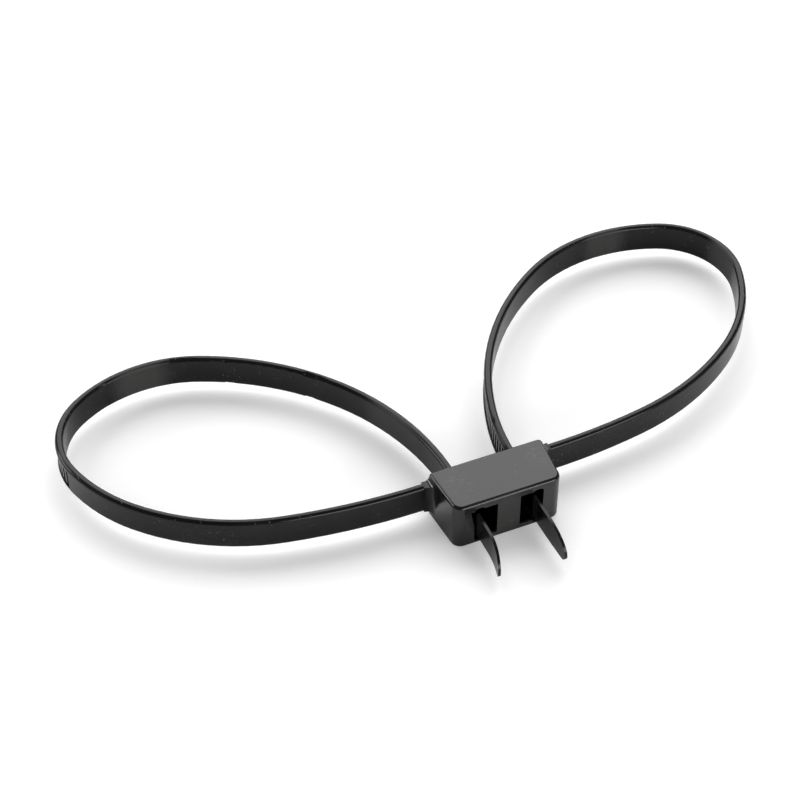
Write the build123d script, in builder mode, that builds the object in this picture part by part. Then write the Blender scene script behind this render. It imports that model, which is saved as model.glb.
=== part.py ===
"""Double plastic handcuffs: one nylon moulding that lies on the edges of its straps.

A lock block carries a strap on each side.  Each strap loops out and back, enters the
rear of the block, passes its pawl and leaves the front as a thin tapered tail.

Frame: origin under the middle of the block, +X to the right, +Y to the back where the
loops lie, +Z up.  All sizes are in millimetres.
"""

import os
from math import atan2, degrees, sqrt

from build123d import *

# ---------------------------------------------------------------- lock block
block_width_rear = 43.0
block_width_front = 39.6
block_depth = 20.2
block_height = 19.0
front_corner_radius = 3.5
rear_corner_radius = 1.5
block_top_radius = 1.3
block_bottom_radius = 0.3

# -------------------------------------------------------------------- straps
strap_width = 12.0
strap_thickness = 3.0
strap_edge_radius = 1.4
strap_drop = 0.2
root_setback = 0.2
root_flare_front = 3.0
root_flare_above = 2.0
root_flare_below = 1.5
overlap = 2.0

# Bends of each loop: (radius, degrees).  The near run is read from the root outwards
# and the far run from the slot outwards; two tangent arcs close the loop between them,
# the second one's leg being leg_ratio times the first one's.
left_near_bends = [(241.0, 11.6), (84.5, 36.0), (62.5, 26.5)]
left_far_bends = [(95.0, 39.0), (103.0, 28.0)]
left_leg_ratio = 1.32
right_near_bends = [(240.0, 9.3), (106.0, 27.0), (70.5, 36.0)]
right_far_bends = [(88.0, 15.0), (107.0, 43.0)]
right_leg_ratio = 1.25

# --------------------------------------------------- slots, windows and pawls
slot_offset = 11.0
slot_clearance = 0.35
left_strap_x = 12.3
right_strap_x = 11.0
slot_floor = 0.8
slot_roof = 2.3
slot_corner_radius = 1.4
exit_width = 3.9
exit_depth = 3.6
lead_out_width = 1.35
lead_out_height = 9.0
lead_out_depth = 3.0
window_width = 4.75
window_depth = 14.0
window_floor = 2.0
window_roof = 3.0
pawl_height = 10.0
pawl_root = 2.2
pawl_tip = 1.2
pawl_face = 5.4
pawl_length = 8.0
pawl_gap = 0.3
pawl_inset = 0.8
pawl_notch_depth = 0.5

# ---------------------------------------------------------------------- teeth
tooth_pitch = 2.4
groove_width = 1.3
groove_depth = 0.9
channel_depth = 0.35
rim_width = 1.9
smooth_length = 136.5

# ---------------------------------------------------------------------- tails
tail_width = 9.9
tail_thickness = 1.0
taper_start = -5.0
taper_length = 4.5
tail_nose = 14.0
tail_nose_round = 2.2
left_tail_straight = 8.6
left_tail_bend = (38.0, 18.5)
right_tail_straight = 1.0
right_tail_bend = (400.0, 3.1)

# ------------------------------------------------------------- worked-out sizes
front_y = -block_depth / 2
rear_y = block_depth / 2
strap_middle = block_height / 2 - strap_drop
strap_inner_y = rear_y - root_setback
strap_y = strap_inner_y - strap_thickness / 2
strap_outer_y = strap_inner_y - strap_thickness
side_slope = (block_width_rear - block_width_front) / 2 / block_depth
strap_play = max(left_strap_x, right_strap_x) - min(left_strap_x, right_strap_x)
slot_width = strap_thickness + strap_play + 2 * slot_clearance
slot_middle_x = (left_strap_x + right_strap_x) / 2
slot_height = block_height - slot_floor - slot_roof
exit_wall_x = slot_offset - exit_width / 2
window_back_y = front_y + window_depth
window_height = block_height - window_floor - window_roof
channel_width = strap_width - 2 * rim_width
strap_rounding = min(strap_edge_radius, 0.47 * strap_thickness)


def side_x(y):
    """Half the block's width at the depth y."""
    return block_width_rear / 2 - (rear_y - y) * side_slope


root_x = side_x(strap_outer_y - root_flare_front)


def closing_point(start, start_tangent, end, end_tangent, leg_ratio):
    """Point where two tangent arcs meet that join start to end.

    Both tangents point into the gap.  The legs of the two arcs are in the given ratio.
    """
    gap = end - start
    a = 2 * leg_ratio * (1 + start_tangent.dot(end_tangent))
    b = 2 * (gap.dot(start_tangent) - leg_ratio * gap.dot(end_tangent))
    leg = (sqrt(b * b + 4 * a * gap.dot(gap)) - b) / (2 * a)
    corner_1 = start + start_tangent * leg
    corner_2 = end + end_tangent * (leg * leg_ratio)
    return corner_1 + (corner_2 - corner_1) * (1 / (1 + leg_ratio))


def bends(start, tangent, turns, sign):
    """Chain of tangent arcs in the open line; gives its end point and end tangent."""
    for radius, angle in turns:
        arc = JernArc(start, tangent, radius, sign * angle)
        start = arc @ 1
        tangent = arc % 1
    return start, tangent


def strap_path(side, strap_x, near_bends, far_bends, leg_ratio):
    """Middle of one strap in plan, from inside its root to where its tail thins."""
    outward = Vector(side, 0)
    straight_end = Vector(side * (root_x + root_flare_front), strap_y)
    mouth = Vector(side * strap_x, rear_y)
    with BuildLine() as line:
        Line((side * (root_x - overlap), strap_y), straight_end)
        near_end, near_tangent = bends(straight_end, outward, near_bends, side)
        far_end, far_tangent = bends(mouth, Vector(0, 1), far_bends, -side)
        meeting = closing_point(near_end, near_tangent, far_end, far_tangent, leg_ratio)
        TangentArc(near_end, meeting, tangent=near_tangent)
        TangentArc(far_end, meeting, tangent=far_tangent)
        Line(mouth, (mouth.X, taper_start))
    return line.wires()[0]


def outward_normal(side, tangent):
    """Direction from the middle of a strap to its outer face."""
    return Vector(side * tangent.Y, -side * tangent.X)


def make_strap(side, strap_x, near_bends, far_bends, leg_ratio):
    """One strap about its own mid-plane: rounded band, tooth channel and grooves."""
    path = strap_path(side, strap_x, near_bends, far_bends, leg_ratio)
    toothed = path.trim(smooth_length / path.length, 1)
    channel_normal = outward_normal(side, toothed % 0)
    groove_count = int(toothed.length / tooth_pitch)
    with BuildPart() as strap:
        with BuildSketch(Plane(path @ 0, x_dir=(0, 1, 0), z_dir=path % 0)):
            RectangleRounded(strap_thickness, strap_width, strap_rounding)
        sweep(path=path)
        with BuildSketch(Plane(toothed @ 0, x_dir=channel_normal, z_dir=toothed % 0)):
            with Locations((strap_thickness / 2, 0)):
                Rectangle(2 * channel_depth, channel_width)
        sweep(path=toothed, mode=Mode.SUBTRACT)
        with BuildSketch():
            for index in range(groove_count):
                place = (index + 0.5) * tooth_pitch / toothed.length
                tangent = toothed % place
                centre = (toothed @ place) + outward_normal(side, tangent) * strap_thickness / 2
                turn = degrees(atan2(tangent.Y, tangent.X))
                with Locations(Location(centre, (0, 0, turn))):
                    Rectangle(groove_width, 2 * groove_depth)
        extrude(amount=channel_width / 2, both=True, mode=Mode.SUBTRACT)
    return strap


def make_root_flare(side):
    """Swelling where a strap grows out of the block, about the strap's mid-plane."""
    inside = side * (root_x - overlap)
    face = side * root_x
    end = side * (root_x + root_flare_front)
    top = strap_width / 2
    front = strap_outer_y - root_flare_front
    with BuildPart() as flare:
        with BuildSketch():
            with BuildLine():
                Polyline((face, front), (inside, front), (inside, strap_inner_y))
                Polyline((inside, strap_inner_y), (end, strap_inner_y), (end, strap_outer_y))
                TangentArc((end, strap_outer_y), (face, front), tangent=(-side, 0))
            make_face()
        extrude(amount=top + root_flare_above, both=True)
        with BuildSketch(Plane.XZ):
            above = top + root_flare_above
            below = -top - root_flare_below
            above_end = face + side * root_flare_above
            below_end = face + side * root_flare_below
            with BuildLine():
                Polyline((face, above), (inside, above), (inside, below), (face, below))
                TangentArc((face, below), (below_end, -top), tangent=(0, 1))
                Polyline((below_end, -top), (end, -top), (end, top), (above_end, top))
                TangentArc((above_end, top), (face, above), tangent=(-side, 0))
            make_face()
        extrude(amount=block_depth, both=True, mode=Mode.INTERSECT)
    return flare


def make_tail(side, strap_x, straight, bend):
    """Thin tail about the strap's mid-plane, from its taper in the slot to its nose.

    It is flush with the strap's toothed face and with its lower edge.
    """
    x = side * (strap_x - strap_thickness / 2 + tail_thickness / 2)
    toothed_face = side * (strap_x - strap_thickness / 2)
    thin_y = taper_start - taper_length
    half_tail = tail_thickness / 2
    low = -strap_width / 2
    high = low + tail_width
    shoulder = low + tail_nose_round
    with BuildLine() as middle:
        Line((x, thin_y), (x, front_y - straight))
        tip, _ = bends(Vector(x, front_y - straight), Vector(0, -1), [bend], side)
    nose_y = tip.Y + tail_nose
    with BuildPart() as tail:
        with BuildSketch():
            trace(middle.line, tail_thickness)
            with BuildLine():
                Polyline(
                    (toothed_face, taper_start),
                    (toothed_face + side * strap_thickness, taper_start),
                    (toothed_face + side * tail_thickness, thin_y),
                    (toothed_face, thin_y),
                    close=True,
                )
            make_face()
        extrude(amount=strap_width / 2, both=True)
        with BuildSketch(Plane.YZ):
            with BuildLine():
                Polyline((nose_y, high), (0, high), (0, low), (tip.Y + tail_nose_round, low))
                JernArc((tip.Y + tail_nose_round, low), (-1, 0), tail_nose_round, -90)
                EllipticalCenterArc(
                    (nose_y, shoulder), tail_nose, high - shoulder, 90, arc_size=90
                )
            make_face()
        extrude(amount=block_width_rear, both=True, mode=Mode.INTERSECT)
    return tail


with BuildPart() as block:
    with BuildSketch():
        with BuildLine():
            Polyline(
                (-block_width_front / 2, front_y),
                (block_width_front / 2, front_y),
                (block_width_rear / 2, rear_y),
                (-block_width_rear / 2, rear_y),
                close=True,
            )
        make_face()
    extrude(amount=block_height)
    upright = block.edges().filter_by(lambda edge: edge.length > block_height - 0.001)
    upright = upright.filter_by(Axis.Z)
    fillet(upright.group_by(Axis.Y)[0], front_corner_radius)
    fillet(block.edges().filter_by(Axis.Z).group_by(Axis.Y)[-1], rear_corner_radius)
    fillet(block.faces().sort_by(Axis.Z)[-1].edges(), block_top_radius)
    fillet(block.faces().sort_by(Axis.Z)[0].edges(), block_bottom_radius)
    # Passages for the two straps, open at the back and closed by the front wall.
    with BuildSketch(Plane.XZ.offset(-rear_y)):
        for side in (-1, 1):
            with Locations((side * slot_middle_x, slot_floor + slot_height / 2)):
                RectangleRounded(slot_width, slot_height, slot_corner_radius)
    extrude(amount=block_depth - exit_depth, mode=Mode.SUBTRACT)
    # Exit slots for the tails and the windows beside them, where the pawls lie.
    with BuildSketch(Plane.XZ.offset(-front_y)):
        for side in (-1, 1):
            with Locations((side * slot_offset, slot_floor + slot_height / 2)):
                RectangleRounded(exit_width, slot_height, slot_corner_radius)
    extrude(amount=-exit_depth, mode=Mode.SUBTRACT)
    with BuildSketch(Plane.XZ.offset(-front_y)):
        for side in (-1, 1):
            middle = exit_wall_x - window_width / 2
            with Locations((side * (middle + exit_width / 4), window_floor + window_height / 2)):
                Rectangle(window_width + exit_width / 2, window_height)
    extrude(amount=-window_depth, mode=Mode.SUBTRACT)
    # Slanted lead-out at the outer wall of the left exit.
    with BuildSketch(Plane.XZ.offset(-front_y)):
        outer_wall = -slot_offset - exit_width / 2
        lead_top = slot_floor + slot_height - block_top_radius
        with BuildLine():
            Polyline(
                (outer_wall + slot_clearance, lead_top),
                (outer_wall - lead_out_width, lead_top),
                (outer_wall + slot_clearance, lead_top - lead_out_height),
                close=True,
            )
        make_face()
    extrude(amount=-lead_out_depth, mode=Mode.SUBTRACT)

with BuildPart() as pawls:
    tip_y = window_back_y - pawl_length
    heel_x = exit_wall_x - window_width + pawl_inset
    with BuildSketch(Plane.XY.offset(strap_middle)):
        for side, strap_x in ((-1, left_strap_x), (1, right_strap_x)):
            tip_x = strap_x - strap_thickness / 2 - pawl_gap
            with BuildLine():
                Polyline(
                    (side * heel_x, window_back_y + overlap),
                    (side * heel_x, window_back_y),
                    (side * (tip_x - pawl_tip), tip_y),
                    (side * tip_x, tip_y),
                    (side * tip_x, tip_y + pawl_face),
                    (side * (heel_x + pawl_root), window_back_y),
                    (side * (heel_x + pawl_root), window_back_y + overlap),
                    close=True,
                )
            make_face()
            for notch in (0.75, 1.75):
                with Locations((side * tip_x, tip_y + notch * tooth_pitch)):
                    Rectangle(2 * pawl_notch_depth, groove_width, mode=Mode.SUBTRACT)
    extrude(amount=pawl_height / 2, both=True)

left_strap = make_strap(-1, left_strap_x, left_near_bends, left_far_bends, left_leg_ratio)
right_strap = make_strap(1, right_strap_x, right_near_bends, right_far_bends, right_leg_ratio)
left_flare = make_root_flare(-1)
right_flare = make_root_flare(1)
left_tail = make_tail(-1, left_strap_x, left_tail_straight, left_tail_bend)
right_tail = make_tail(1, right_strap_x, right_tail_straight, right_tail_bend)

with BuildPart() as handcuffs:
    add(block.part)
    add(pawls.part)
    with Locations((0, 0, strap_middle)):
        add(left_flare.part)
        add(right_flare.part)
        add(left_strap.part)
        add(right_strap.part)
        add(left_tail.part)
        add(right_tail.part)

handcuffs.part.label = "double_handcuffs"
os.makedirs("parts", exist_ok=True)
export_step(handcuffs.part, "parts/double_handcuffs.step")
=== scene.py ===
"""Looks of the double plastic handcuffs: one glossy black nylon moulding on a pale floor.

The moulding keeps the shape and place of its solid.  Its surface is welded, smoothed
and given a nylon finish with fine moulding texture, rubbed patches, hair scratches and
dusty smudges.  Some tones are chosen and aren't the material's own: even pale patches
stand in for soft reflections, the block is glossier than the straps, and the insides of
the slots are darkened with painted shade.  A floor, soft boxes and the camera complete
the scene.  Metres, +Z up.
"""

import logging
import math
from dataclasses import dataclass
from enum import Enum

import bmesh
import bpy
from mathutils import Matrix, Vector


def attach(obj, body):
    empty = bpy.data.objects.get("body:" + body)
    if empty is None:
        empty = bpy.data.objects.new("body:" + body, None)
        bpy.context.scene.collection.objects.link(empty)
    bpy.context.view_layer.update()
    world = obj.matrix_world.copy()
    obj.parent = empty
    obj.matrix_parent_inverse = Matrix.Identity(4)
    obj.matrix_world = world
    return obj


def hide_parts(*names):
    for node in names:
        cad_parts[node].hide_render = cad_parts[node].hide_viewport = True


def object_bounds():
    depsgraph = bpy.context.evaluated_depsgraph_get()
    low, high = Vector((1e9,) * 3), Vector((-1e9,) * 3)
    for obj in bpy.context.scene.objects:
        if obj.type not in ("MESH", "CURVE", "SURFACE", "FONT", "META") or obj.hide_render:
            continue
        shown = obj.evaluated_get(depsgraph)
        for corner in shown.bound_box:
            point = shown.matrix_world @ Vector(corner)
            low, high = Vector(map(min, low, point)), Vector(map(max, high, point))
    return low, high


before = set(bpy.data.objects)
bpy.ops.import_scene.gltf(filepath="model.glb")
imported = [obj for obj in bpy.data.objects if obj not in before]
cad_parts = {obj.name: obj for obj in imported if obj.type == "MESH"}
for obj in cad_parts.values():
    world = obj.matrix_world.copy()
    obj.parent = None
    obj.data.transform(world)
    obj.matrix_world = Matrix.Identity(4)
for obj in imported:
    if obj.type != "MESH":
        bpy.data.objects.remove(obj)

LOG = logging.getLogger("handcuffs")
CAD_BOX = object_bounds()
NODE = "double_handcuffs"
BODY = "root"
MM = 0.001

MIX_FACTOR = 0
MIX_FIRST = 6
MIX_SECOND = 7
MIX_RESULT = 2

Colour = tuple[float, float, float]
Triple = tuple[float, float, float]
Span = tuple[float, float]


class Blend(Enum):
    """How a second value is laid over a first one in a node tree."""

    MIX = "MIX"
    LIGHTEN = "LIGHTEN"


class NodeTree:
    """Short way to add and link shader nodes of one material or world."""

    def __init__(self, owner: bpy.types.Material | bpy.types.World) -> None:
        """Clears the owner's node tree and keeps it.

        Args:
            owner: Material or world whose nodes are built.
        """
        owner.use_nodes = True
        self.tree = owner.node_tree
        self.tree.nodes.clear()

    def add(self, kind: str, **values: object) -> bpy.types.Node:
        """Adds a node and sets its properties.

        Args:
            kind: Node type name.
            values: Properties of the node by name.

        Returns:
            The new node.
        """
        node = self.tree.nodes.new(kind)
        for name, value in values.items():
            setattr(node, name, value)
        return node

    def feed(self, node: bpy.types.Node, socket: int | str, value: object) -> None:
        """Gives an input socket a link or a constant.

        Args:
            node: Node that takes the value.
            socket: Name or index of its input.
            value: Output socket to link, or a constant.
        """
        target = node.inputs[socket]
        if isinstance(value, bpy.types.NodeSocket):
            self.tree.links.new(value, target)
        else:
            target.default_value = value

    def place(
        self, move: Triple = (0, 0, 0), stretch: Triple = (1, 1, 1)
    ) -> bpy.types.NodeSocket:
        """Object coordinates, moved and stretched.

        Args:
            move: Added to the coordinates, after the stretch.
            stretch: Factor along each axis.

        Returns:
            Vector output.
        """
        coordinate = self.add("ShaderNodeTexCoord")
        mapping = self.add("ShaderNodeMapping")
        self.feed(mapping, "Vector", coordinate.outputs["Object"])
        self.feed(mapping, "Location", move)
        self.feed(mapping, "Scale", stretch)
        return mapping.outputs["Vector"]

    def noise(
        self, vector: object, scale: float, detail: float = 2.0
    ) -> bpy.types.NodeSocket:
        """Soft noise between 0 and 1.

        Args:
            vector: Coordinates to read.
            scale: Patches in a metre.
            detail: Octaves.

        Returns:
            Value output.
        """
        node = self.add("ShaderNodeTexNoise")
        self.feed(node, "Vector", vector)
        self.feed(node, "Scale", scale)
        self.feed(node, "Detail", detail)
        return node.outputs["Fac"]

    def ramp(self, value: object, low: float, high: float) -> bpy.types.NodeSocket:
        """Smooth step from 0 at low to 1 at high.

        Args:
            value: Value output to remap.
            low: Value that gives 0.
            high: Value that gives 1.

        Returns:
            Value output.
        """
        node = self.add("ShaderNodeMapRange", interpolation_type="SMOOTHSTEP")
        self.feed(node, "Value", value)
        self.feed(node, "From Min", low)
        self.feed(node, "From Max", high)
        return node.outputs["Result"]

    def math(self, operation: str, first: object, second: object) -> bpy.types.NodeSocket:
        """One arithmetic step.

        Args:
            operation: Name of the operation.
            first: First operand.
            second: Second operand.

        Returns:
            Value output.
        """
        node = self.add("ShaderNodeMath", operation=operation)
        self.feed(node, 0, first)
        self.feed(node, 1, second)
        return node.outputs["Value"]

    def mix(
        self, blend: Blend, factor: object, first: object, second: object
    ) -> bpy.types.NodeSocket:
        """Lays one colour over another.

        Args:
            blend: Way of laying.
            factor: How much of the second shows.
            first: Colour underneath.
            second: Colour on top.

        Returns:
            Colour output.
        """
        node = self.add("ShaderNodeMix", data_type="RGBA", blend_type=blend.value)
        self.feed(node, MIX_FACTOR, factor)
        self.feed(node, MIX_FIRST, first)
        self.feed(node, MIX_SECOND, second)
        return node.outputs[MIX_RESULT]


@dataclass(frozen=True)
class SmudgeOrSheen:
    """An ellipsoid patch of another base colour: broken streaks of dust or chalk, or an
    even painted sheen.
    """

    centre: Triple
    reach: Triple
    tint: Colour
    strength: float
    broken: bool = True
    core: float = 0.35

    def mask(self, nodes: NodeTree, grain: bpy.types.NodeSocket) -> bpy.types.NodeSocket:
        """Patch as a value from 0 to its strength.

        Args:
            nodes: Tree that takes the nodes.
            grain: Streak noise that breaks the patch up.

        Returns:
            Value output.
        """
        stretch = tuple(1 / size for size in self.reach)
        move = tuple(-place / size for place, size in zip(self.centre, self.reach))
        ball = nodes.add("ShaderNodeVectorMath", operation="LENGTH")
        nodes.feed(ball, 0, nodes.place(move, stretch))
        near = nodes.ramp(ball.outputs["Value"], 1.0, self.core)
        if self.broken:
            near = nodes.math("MULTIPLY", near, grain)
        return nodes.math("MULTIPLY", near, self.strength)


@dataclass(frozen=True)
class Zone:
    """Box that marks a region of the moulding."""

    centre: Triple
    half: Triple
    edge: float

    def mask(self, nodes: NodeTree) -> bpy.types.NodeSocket:
        """Box as a value from 0 outside to 1 inside.

        Args:
            nodes: Tree that takes the nodes.

        Returns:
            Value output.
        """
        stretch = tuple(1 / size for size in self.half)
        move = tuple(-place / size for place, size in zip(self.centre, self.half))
        parts = nodes.add("ShaderNodeSeparateXYZ")
        nodes.feed(parts, "Vector", nodes.place(move, stretch))
        furthest: bpy.types.NodeSocket | float = 0.0
        for axis in ("X", "Y", "Z"):
            distance = nodes.math("ABSOLUTE", parts.outputs[axis], 0.0)
            furthest = nodes.math("MAXIMUM", furthest, distance)
        return nodes.ramp(furthest, 1.0, self.edge)


@dataclass(frozen=True)
class NylonFinish:
    """Glossy black moulded nylon with light wear.

    The block zone keeps the full gloss and the straps lose strap_loss of it.  The slots
    zone loses slot_loss and its colour turns near black, a painted shade inside the slots.
    Both zones are chosen for their tones; the moulding is one material.
    """

    name: str = "black_nylon"
    colour: Colour = (0.0035, 0.0035, 0.0036)
    pale: Colour = (0.0070, 0.0068, 0.0065)
    # Painted shade: the near-black colour given to the insides of the slots.
    slot_shade_colour: Colour = (0.0010, 0.0010, 0.0010)
    rubbed: Colour = (0.16, 0.16, 0.155)
    roughness: float = 0.17
    rough_spread: float = 0.10
    ior: float = 1.38
    ripple_depth: float = 0.05
    grain_depth: float = 0.012
    scratch_depth: float = 0.02
    block: Zone = Zone((0.0, 0.0, 0.0095), (0.0232, 0.0116, 0.0120), 0.94)
    # Box inside the slots where shade is painted into the colour and the gloss drops.
    slot_shade_zone: Zone = Zone((0.0, -0.0002, 0.0090), (0.0165, 0.0094, 0.0085), 0.92)
    gloss: float = 0.70
    strap_loss: float = 0.30
    slot_loss: float = 0.62
    cloud_scale: float = 70.0
    cloud_detail: float = 4.0
    cloud_range: Span = (0.35, 0.75)
    streak_stretch: Triple = (0.4, 1.0, 2.4)
    streak_scale: float = 1100.0
    streak_detail: float = 4.0
    streak_range: Span = (0.46, 0.66)
    scratch_passes: tuple[Span, ...] = ((0.4, 2300.0), (1.35, 1700.0), (2.3, 2900.0))
    scratch_lean: Triple = (0.6, 0.3, 1.0)
    scratch_shape: Triple = (1.0, 0.06, 0.5)
    scratch_range: Span = (0.77, 0.81)
    gap_scale: float = 0.05
    gap_range: Span = (0.52, 0.66)
    scratch_tone: float = 0.35
    worn_rough: float = 0.5
    scratch_rough: float = 0.2
    ripple_scale: float = 55.0
    grain_scale: float = 2600.0
    smudges_and_sheens: tuple[SmudgeOrSheen, ...] = ()

    def scratches(self, nodes: NodeTree) -> bpy.types.NodeSocket:
        """Sparse hair scratches in several directions.

        Args:
            nodes: Tree that takes the nodes.

        Returns:
            Value output, 1 on a scratch.
        """
        total: bpy.types.NodeSocket | float = 0.0
        for turn, scale in self.scratch_passes:
            rotation = tuple(turn * lean for lean in self.scratch_lean)
            shape = tuple(scale * share for share in self.scratch_shape)
            mapping = nodes.add("ShaderNodeMapping")
            nodes.feed(mapping, "Vector", nodes.place())
            nodes.feed(mapping, "Rotation", rotation)
            nodes.feed(mapping, "Scale", shape)
            hairs = nodes.noise(mapping.outputs["Vector"], 1.0, 0.0)
            line = nodes.ramp(hairs, *self.scratch_range)
            gaps = nodes.noise(nodes.place(), scale * self.gap_scale, 1.0)
            broken = nodes.ramp(gaps, *self.gap_range)
            total = nodes.math("MAXIMUM", total, nodes.math("MULTIPLY", line, broken))
        return total

    def material(self) -> bpy.types.Material:
        """Builds the finish.

        Returns:
            The nylon material.
        """
        material = bpy.data.materials.new(self.name)
        nodes = NodeTree(material)
        output = nodes.add("ShaderNodeOutputMaterial")
        shader = nodes.add("ShaderNodeBsdfPrincipled")
        nodes.tree.links.new(shader.outputs["BSDF"], output.inputs["Surface"])
        shader.inputs["IOR"].default_value = self.ior

        clouds = nodes.noise(nodes.place(), self.cloud_scale, self.cloud_detail)
        cloudy = nodes.ramp(clouds, *self.cloud_range)
        scratched = self.scratches(nodes)
        colour = nodes.mix(Blend.MIX, cloudy, (*self.colour, 1), (*self.pale, 1))
        along = nodes.place(stretch=self.streak_stretch)
        streaks = nodes.noise(along, self.streak_scale, self.streak_detail)
        grain = nodes.ramp(streaks, *self.streak_range)
        wear_and_sheen: bpy.types.NodeSocket | float = 0.0
        # Dust and chalk smudges are the nylon's own dirt; the even sheen patches among
        # them are painted reflections.
        for smudge_or_sheen in self.smudges_and_sheens:
            patch = smudge_or_sheen.mask(nodes, grain)
            colour = nodes.mix(Blend.MIX, patch, colour, (*smudge_or_sheen.tint, 1))
            wear_and_sheen = nodes.math("MAXIMUM", wear_and_sheen, patch)
        scratch_tone = nodes.math("MULTIPLY", scratched, self.scratch_tone)
        colour = nodes.mix(Blend.LIGHTEN, scratch_tone, colour, (*self.rubbed, 1))
        # Painted shade: inside the slots the colour turns near black and the gloss drops
        # by slot_loss.
        slot_shade_mask = self.slot_shade_zone.mask(nodes)
        colour = nodes.mix(Blend.MIX, slot_shade_mask, colour, (*self.slot_shade_colour, 1))
        nodes.feed(shader, "Base Color", colour)
        strap = nodes.math("SUBTRACT", 1.0, self.block.mask(nodes))
        strap_dulling = nodes.math("MULTIPLY", strap, self.strap_loss)
        slot_dulling = nodes.math("MULTIPLY", slot_shade_mask, self.slot_loss)
        gloss = nodes.math("SUBTRACT", self.gloss, strap_dulling)
        gloss = nodes.math("SUBTRACT", gloss, slot_dulling)
        nodes.feed(shader, "Specular IOR Level", gloss)

        uneven = nodes.math("MULTIPLY", cloudy, self.rough_spread)
        rough = nodes.math("ADD", uneven, self.roughness)
        wear = nodes.math("MULTIPLY", wear_and_sheen, self.worn_rough)
        rough = nodes.math("ADD", rough, wear)
        torn = nodes.math("MULTIPLY", scratched, self.scratch_rough)
        rough = nodes.math("ADD", rough, torn)
        nodes.feed(shader, "Roughness", rough)

        ripple = nodes.noise(nodes.place(), self.ripple_scale, 1.0)
        fine = nodes.noise(nodes.place(), self.grain_scale)
        height = nodes.math("MULTIPLY", ripple, self.ripple_depth)
        height = nodes.math("ADD", height, nodes.math("MULTIPLY", fine, self.grain_depth))
        cut = nodes.math("MULTIPLY", scratched, self.scratch_depth)
        height = nodes.math("SUBTRACT", height, cut)
        bump = nodes.add("ShaderNodeBump")
        nodes.feed(bump, "Height", height)
        nodes.feed(bump, "Distance", MM)
        nodes.feed(bump, "Strength", 1.0)
        nodes.feed(shader, "Normal", bump.outputs["Normal"])
        return material


@dataclass(frozen=True)
class FloorFinish:
    """White floor that takes the soft shadow; lift brightens it to the camera only."""

    name: str = "white_floor"
    colour: Colour = (0.90, 0.90, 0.90)
    darker: float = 0.99
    patch_scale: float = 9.0
    roughness: float = 0.85
    gloss: float = 0.1
    lift: float = 0.18

    def material(self) -> bpy.types.Material:
        """Builds the finish.

        Returns:
            The floor material.
        """
        material = bpy.data.materials.new(self.name)
        nodes = NodeTree(material)
        output = nodes.add("ShaderNodeOutputMaterial")
        shader = nodes.add("ShaderNodeBsdfPrincipled")
        tint = nodes.noise(nodes.place(), self.patch_scale)
        low = tuple(part * self.darker for part in self.colour)
        colour = nodes.mix(Blend.MIX, tint, (*low, 1), (*self.colour, 1))
        nodes.feed(shader, "Base Color", colour)
        shader.inputs["Roughness"].default_value = self.roughness
        shader.inputs["Specular IOR Level"].default_value = self.gloss
        path = nodes.add("ShaderNodeLightPath")
        glow = nodes.add("ShaderNodeEmission")
        seen = nodes.math("MULTIPLY", path.outputs["Is Camera Ray"], self.lift)
        nodes.feed(glow, "Strength", seen)
        total = nodes.add("ShaderNodeAddShader")
        nodes.feed(total, 0, shader.outputs["BSDF"])
        nodes.feed(total, 1, glow.outputs["Emission"])
        nodes.feed(output, "Surface", total.outputs["Shader"])
        return material


@dataclass
class CuffMoulding:
    """The whole cuff: lock block, two straps and their tails in one moulding."""

    finish: NylonFinish
    weld: float = 0.002 * MM
    crease: float = math.radians(32)
    name: str = "cuff_moulding"

    def welded_mesh(self) -> bpy.types.Mesh:
        """Joins the loose triangles of the solid into one smooth skin.

        Returns:
            A new mesh in the place of the solid.
        """
        mesh = bpy.data.meshes.new(self.name)
        skin = bmesh.new()
        skin.from_mesh(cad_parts[NODE].data)
        bmesh.ops.remove_doubles(skin, verts=skin.verts, dist=self.weld)
        bmesh.ops.dissolve_degenerate(skin, edges=skin.edges, dist=self.weld)
        for face in skin.faces:
            face.smooth = True
        for edge in skin.edges:
            edge.smooth = edge.is_manifold and edge.calc_face_angle(0.0) < self.crease
        skin.to_mesh(mesh)
        skin.free()
        return mesh

    def build(self) -> list[bpy.types.Object]:
        """Makes the moulding's piece and dresses it.

        Returns:
            The pieces that were made.
        """
        piece = bpy.data.objects.new(self.name, self.welded_mesh())
        bpy.context.scene.collection.objects.link(piece)
        piece.data.materials.append(self.finish.material())
        even = piece.modifiers.new("even_normals", "WEIGHTED_NORMAL")
        even.keep_sharp = True
        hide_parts(NODE)
        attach(piece, BODY)
        return [piece]


@dataclass(frozen=True)
class SoftBox:
    """A rectangular area lamp aimed at a point, with the radiance of its face."""

    name: str
    place: Triple
    aim: Triple
    size: Span
    radiance: float

    def build(self) -> bpy.types.Object:
        """Makes the lamp.

        Returns:
            The lamp object.
        """
        lamp = bpy.data.lights.new(self.name, "AREA")
        lamp.shape = "RECTANGLE"
        lamp.size, lamp.size_y = self.size
        lamp.energy = self.radiance * math.pi * self.size[0] * self.size[1]
        holder = bpy.data.objects.new(self.name, lamp)
        bpy.context.scene.collection.objects.link(holder)
        holder.location = self.place
        away = Vector(self.place) - Vector(self.aim)
        holder.rotation_euler = away.to_track_quat("Z", "Y").to_euler()
        return holder


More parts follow.
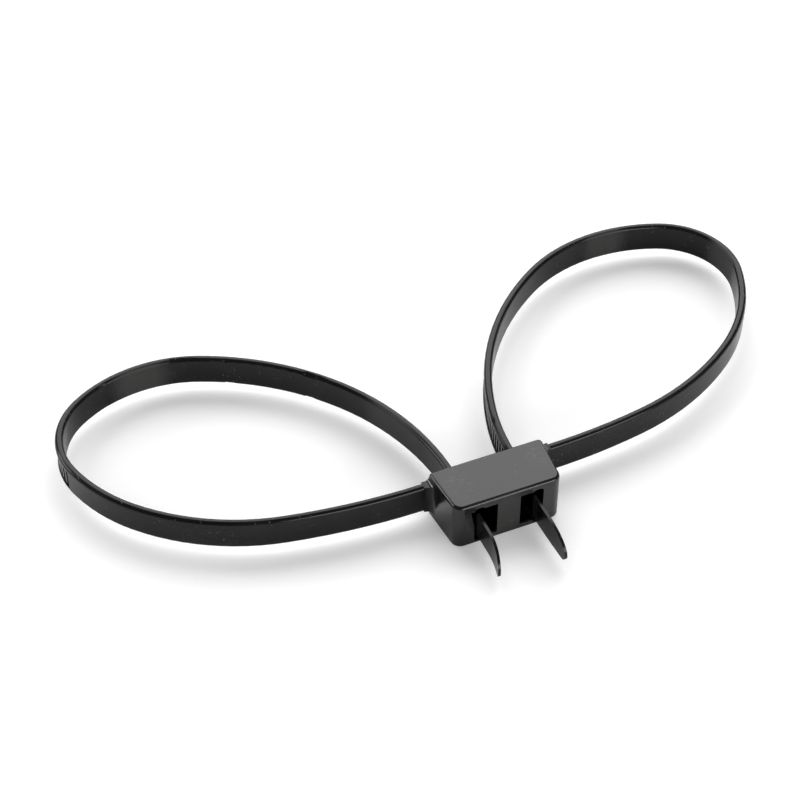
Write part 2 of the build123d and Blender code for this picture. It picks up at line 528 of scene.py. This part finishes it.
@dataclass
class Studio:
    """Floor, soft light and camera round the moulding."""

    azimuth: float = -23.37
    elevation: float = 44.19
    distance: float = 0.67455
    lens: float = 88.2
    sensor: float = 36.0
    aim: Triple = (-0.02155, 0.03366, 0.03249)
    floor_size: float = 8.0
    floor_gap: float = 0.05 * MM
    mirrored: float = 0.16
    ambient: float = 0.33
    backdrop: float = 1.0
    boxes: tuple[SoftBox, ...] = ()

    def floor(self) -> bpy.types.Object:
        """Makes the floor just under the moulding.

        Returns:
            The floor object.
        """
        low = CAD_BOX[0]
        mesh = bpy.data.meshes.new("floor")
        plane = bmesh.new()
        half = self.floor_size / 2
        drop = (0, 0, low.z - self.floor_gap)
        bmesh.ops.create_grid(plane, x_segments=1, y_segments=1, size=half)
        bmesh.ops.translate(plane, verts=plane.verts, vec=drop)
        plane.to_mesh(mesh)
        plane.free()
        mesh.materials.append(FloorFinish().material())
        floor = bpy.data.objects.new("floor", mesh)
        bpy.context.scene.collection.objects.link(floor)
        return floor

    def sky(self) -> None:
        """Even light all round, dimmer where it is mirrored and white to the camera."""
        world = bpy.data.worlds.new("studio")
        bpy.context.scene.world = world
        nodes = NodeTree(world)
        path = nodes.add("ShaderNodeLightPath")
        shade: bpy.types.NodeSocket | None = None
        layers = (
            (self.ambient, None),
            (self.mirrored, path.outputs["Is Glossy Ray"]),
            (self.backdrop, path.outputs["Is Camera Ray"]),
        )
        for strength, ray in layers:
            light = nodes.add("ShaderNodeBackground")
            light.inputs["Color"].default_value = (1, 1, 1, 1)
            light.inputs["Strength"].default_value = strength
            if ray is None:
                shade = light.outputs["Background"]
                continue
            blend = nodes.add("ShaderNodeMixShader")
            nodes.feed(blend, 0, ray)
            nodes.feed(blend, 1, shade)
            nodes.feed(blend, 2, light.outputs["Background"])
            shade = blend.outputs["Shader"]
        output = nodes.add("ShaderNodeOutputWorld")
        nodes.feed(output, "Surface", shade)

    def camera(self) -> bpy.types.Object:
        """Makes the camera at its viewing angle.

        Returns:
            The camera object.
        """
        turn = math.radians(self.azimuth)
        rise = math.radians(self.elevation)
        flat = math.cos(rise)
        back = Vector((math.sin(turn) * flat, -math.cos(turn) * flat, math.sin(rise)))
        data = bpy.data.cameras.new("camera")
        data.lens = self.lens
        data.sensor_width = self.sensor
        camera = bpy.data.objects.new("camera", data)
        bpy.context.scene.collection.objects.link(camera)
        camera.location = Vector(self.aim) + back * self.distance
        camera.rotation_euler = back.to_track_quat("Z", "Y").to_euler()
        bpy.context.scene.camera = camera
        return camera

    def build(self) -> None:
        """Makes the whole studio."""
        self.floor()
        self.sky()
        self.camera()
        for box in self.boxes:
            box.build()
        view = bpy.context.scene.view_settings
        view.view_transform = "Standard"


DUST: Colour = (0.070, 0.060, 0.050)
CHALK: Colour = (0.12, 0.12, 0.115)
SHEEN: Colour = (0.055, 0.055, 0.053)

# The sheen patches are base colour that stands in for broad soft reflections, one over
# the block's front face and four on the straps.  They show from every side.
SMUDGES_AND_SHEENS = (
    SmudgeOrSheen((-0.014, 0.001, 0.019), (0.007, 0.010, 0.003), CHALK, 0.20),
    SmudgeOrSheen((0.016, 0.003, 0.019), (0.005, 0.007, 0.003), CHALK, 0.22),
    SmudgeOrSheen((0.002, -0.0101, 0.006), (0.005, 0.002, 0.004), CHALK, 0.30),
    SmudgeOrSheen((0.070, 0.016, 0.0095), (0.034, 0.012, 0.008), DUST, 0.16),
    SmudgeOrSheen((-0.085, 0.020, 0.0070), (0.040, 0.014, 0.008), DUST, 0.14),
    SmudgeOrSheen((0.000, -0.0101, 0.0095), (0.024, 0.004, 0.014), SHEEN, 0.36, broken=False),
    SmudgeOrSheen((-0.095, 0.102, 0.0095), (0.014, 0.008, 0.020), SHEEN, 0.55, broken=False),
    SmudgeOrSheen((0.096, 0.105, 0.0095), (0.012, 0.008, 0.020), SHEEN, 0.45, broken=False),
    SmudgeOrSheen((0.133, 0.076, 0.0095), (0.007, 0.012, 0.020), SHEEN, 0.60, broken=False),
    SmudgeOrSheen((-0.020, 0.044, 0.0095), (0.012, 0.018, 0.020), SHEEN, 0.60, broken=False),
)

LAMP_AIM: Triple = (0.0, 0.03, 0.0)
LAMPS = (
    SoftBox("rear_softbox", (0.30, 0.85, 0.80), LAMP_AIM, (1.6, 1.1), 3.2),
    SoftBox("front_strip", (0.36, -1.20, 0.40), LAMP_AIM, (1.2, 0.55), 6.0),
    SoftBox("left_strip", (-0.95, 0.72, 0.43), LAMP_AIM, (0.5, 0.22), 12.0),
)


def main() -> None:
    """Builds the moulding and the studio and reports each piece."""
    logging.basicConfig(level=logging.INFO)
    moulding = CuffMoulding(finish=NylonFinish(smudges_and_sheens=SMUDGES_AND_SHEENS))
    for piece in moulding.build():
        LOG.info("piece %s: %d faces", piece.name, len(piece.data.polygons))
    Studio(boxes=LAMPS).build()


if __name__ == "__main__":
    main()
